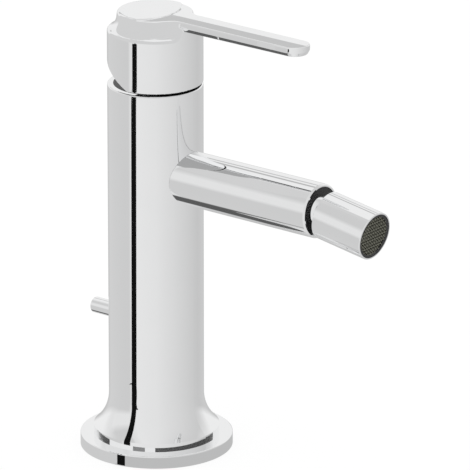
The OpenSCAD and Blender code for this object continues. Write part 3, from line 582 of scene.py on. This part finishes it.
def surface_net(distance, low, high, step):
    """Corner points and four-sided faces of the surface where a distance is zero."""
    axes = [np.arange(a, b + step, step) for a, b in zip(low, high)]
    grid = distance(*np.meshgrid(*axes, indexing="ij", sparse=False))
    inside = grid < 0
    cells = tuple(n - 1 for n in grid.shape)
    total = np.zeros((3,) + cells)
    count = np.zeros(cells)
    corners = [(i, j, k) for i in (0, 1) for j in (0, 1) for k in (0, 1)]

    def part(array, corner):
        return array[tuple(slice(c, c + n) for c, n in zip(corner, cells))]

    for start in corners:
        for axis in range(3):
            if start[axis]:
                continue
            end = tuple(c + (axis == d) for d, c in enumerate(start))
            first, second = part(grid, start), part(grid, end)
            cut = part(inside, start) != part(inside, end)
            where = first[cut] / (first[cut] - second[cut])
            for d in range(3):
                total[d][cut] += start[d] + where * (axis == d)
            count[cut] += 1
    used = count > 0
    number = np.full(cells, -1)
    number[used] = np.arange(used.sum())
    base = np.stack([np.broadcast_to(a[:n].reshape([-1 if d == k else 1 for k in range(3)]), cells)[used]
                     for d, (a, n) in enumerate(zip(axes, cells))], -1)
    points = base + step * (total[:, used] / count[used]).T
    faces = []
    for axis in range(3):
        b, c = (axis + 1) % 3, (axis + 2) % 3
        lower = np.moveaxis(inside, (axis, b, c), (0, 1, 2))
        order = np.moveaxis(number, (axis, b, c), (0, 1, 2))
        change = (lower[:-1] != lower[1:])[:, 1:-1, 1:-1]
        outward = lower[:-1][:, 1:-1, 1:-1][change]
        ring = [order[:, :-1, :-1], order[:, 1:, :-1], order[:, 1:, 1:], order[:, :-1, 1:]]
        quads = np.stack([q[change] for q in ring], -1)
        faces.append(np.where(outward[:, None], quads, quads[:, ::-1]))
    return points, np.concatenate(faces)


def slope_of(distance, points, width=0.02):
    """Direction in which a distance grows, at each point."""
    steps = np.eye(3) * width
    return np.stack([distance(*(points + s).T) - distance(*(points - s).T) for s in steps], -1) / (2 * width)


def solid_from_distance(name, distance, low, high, step):
    """A smooth mesh object of the surface where a distance in millimetres is zero."""
    points, faces = surface_net(distance, low, high, step)
    for _ in range(4):
        slope = slope_of(distance, points)
        share = distance(*points.T) / np.maximum((slope ** 2).sum(1), 0.2)
        points = points - np.clip(share, -step, step)[:, None] * slope
    normals = slope_of(distance, points)
    normals /= np.linalg.norm(normals, axis=1)[:, None]
    mesh = bpy.data.meshes.new(name)
    mesh.from_pydata((points / 1000).tolist(), [], faces.tolist())
    mesh.shade_smooth()
    mesh.normals_split_custom_set_from_vertices(normals.tolist())
    made = bpy.data.objects.new(name, mesh)
    scene.collection.objects.link(made)
    return made


def make_handle(materials):
    piece = solid_from_distance("handle_cast", handle_distance, (-22, -22, HEAD_BOTTOM - 1),
                                (NOSE_X + LEVER_R + 1, 22, CROWN_TOP + 1), HANDLE_STEP)
    piece.data.materials.append(materials["chrome_cast"])
    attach(piece, "lever")
    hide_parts("handle")


# Aerator screen, in millimetres, in the axes of the nozzle
BALL = np.array([87.8, 0.0, 127.4])
NOZZLE_TILT = radians(9)
SCREEN_AT = 32.4
SCREEN_R = 8.9
SCREEN_PITCH = 1.15
WIRE_R = 0.23
WIRE_SIDES = 6
WIRE_STEPS = 6


def woven_wire(across, along, offset, wave, number):
    """Points and faces of one wavy round wire; the wave lifts it over every second wire it crosses."""
    axis = np.cross(across, along)
    half = (SCREEN_R ** 2 - offset ** 2) ** 0.5
    count = max(2, int(2 * half / SCREEN_PITCH * WIRE_STEPS))
    points = []
    for place in np.linspace(-half, half, count):
        lift = wave * cos(radians(180) * (place / SCREEN_PITCH - 0.5 + number))
        for k in range(WIRE_SIDES):
            angle = radians(360) * k / WIRE_SIDES
            ring = WIRE_R * (cos(angle) * across + sin(angle) * axis)
            points.append(offset * across + place * along + lift * axis + ring)
    faces = []
    for row in range(count - 1):
        for k in range(WIRE_SIDES):
            a = row * WIRE_SIDES + k
            b = row * WIRE_SIDES + (k + 1) % WIRE_SIDES
            faces.append((a, a + WIRE_SIDES, b + WIRE_SIDES, b))
    faces.append(tuple(range(WIRE_SIDES)))
    faces.append(tuple(range((count - 1) * WIRE_SIDES, count * WIRE_SIDES))[::-1])
    return points, faces


def make_screen(materials):
    """The aerator's woven screen, wires at 45 degrees to the upright plane."""
    forward = np.array([cos(NOZZLE_TILT), 0, -sin(NOZZLE_TILT)])
    sideways = np.array([0.0, 1.0, 0.0])
    upward = np.cross(forward, sideways)
    rising = (sideways + upward) / 2 ** 0.5
    falling = (sideways - upward) / 2 ** 0.5
    numbers = range(-int(SCREEN_R / SCREEN_PITCH), int(SCREEN_R / SCREEN_PITCH))
    points = []
    faces = []
    for across, along in ((rising, falling), (falling, rising)):
        for number in numbers:
            wire, skin = woven_wire(across, along, (number + 0.5) * SCREEN_PITCH, WIRE_R, number)
            faces.extend(tuple(len(points) + corner for corner in face) for face in skin)
            points.extend(wire)
    mesh = bpy.data.meshes.new("screen_wires")
    mesh.from_pydata([tuple((BALL + SCREEN_AT * forward + p) / 1000) for p in points], [], faces)
    mesh.shade_smooth()
    piece = bpy.data.objects.new("screen_wires", mesh)
    scene.collection.objects.link(piece)
    mesh.materials.append(materials["screen"])
    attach(piece, "outlet")
    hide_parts("aerator_screen")


def dress_nodes(materials):
    """Gives each CAD node the material of its slot in the record."""
    for part in frame["record"]["subparts"]:
        mesh = nodes[part["node"]].data
        mesh.materials.clear()
        mesh.materials.append(materials[part["material_slot"]])


scene.view_settings.view_transform = "Standard"
make_camera()
make_world()
make_floor()
make_cards()
materials = make_materials()
dress_nodes(materials)
make_handle(materials)
make_screen(materials)
